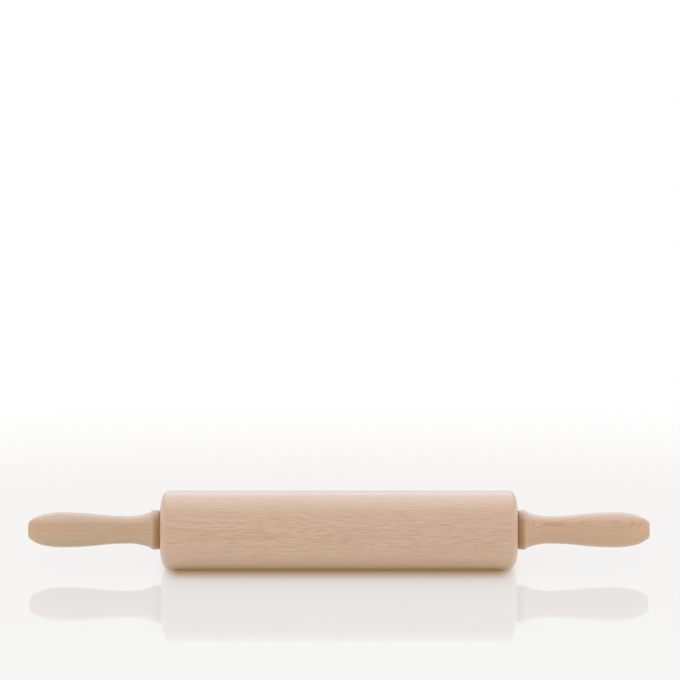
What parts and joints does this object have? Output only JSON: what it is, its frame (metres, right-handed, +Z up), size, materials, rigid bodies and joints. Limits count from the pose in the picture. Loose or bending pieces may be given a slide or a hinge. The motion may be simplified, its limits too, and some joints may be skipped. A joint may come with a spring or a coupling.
{
  "type": "rolling pin",
  "caption": "Rolling pin for pastry: a smooth beech roller with rounded ends turns freely on a steel axle held by turned beech handles.",
  "frame": {"origin": "middle of the line where the roller touches the worktop", "axes": "+X along the turning axis, from the left handle to the right handle; +Z up; +Y away from the cook"},
  "size_m": [0.4352, 0.055, 0.055],
  "materials": {
    "beech_roller": "plain turned and sanded beech",
    "beech_handles": "plain turned and sanded beech",
    "bright_steel": "ground axle and zinc-plated hardware",
    "nylon": "dark moulded nylon"
  },
  "bodies": {
    "handles_and_axle": {"axle": "bright_steel", "left_handle": "beech_handles", "right_handle": "beech_handles", "left_washer": "bright_steel", "right_washer": "bright_steel", "left_lock_nut": "bright_steel", "right_lock_nut": "bright_steel", "left_threaded_insert": "bright_steel", "right_threaded_insert": "bright_steel"},
    "roller_and_bushes": {"roller": "beech_roller", "left_bush": "nylon", "right_bush": "nylon"}
  },
  "joints": [
    {"name": "roller_spin", "type": "hinge", "parent": "handles_and_axle", "child": "roller_and_bushes", "pos_m": [0, 0, 0.0275], "axis": [1, 0, 0], "continuous": true}
  ]
}
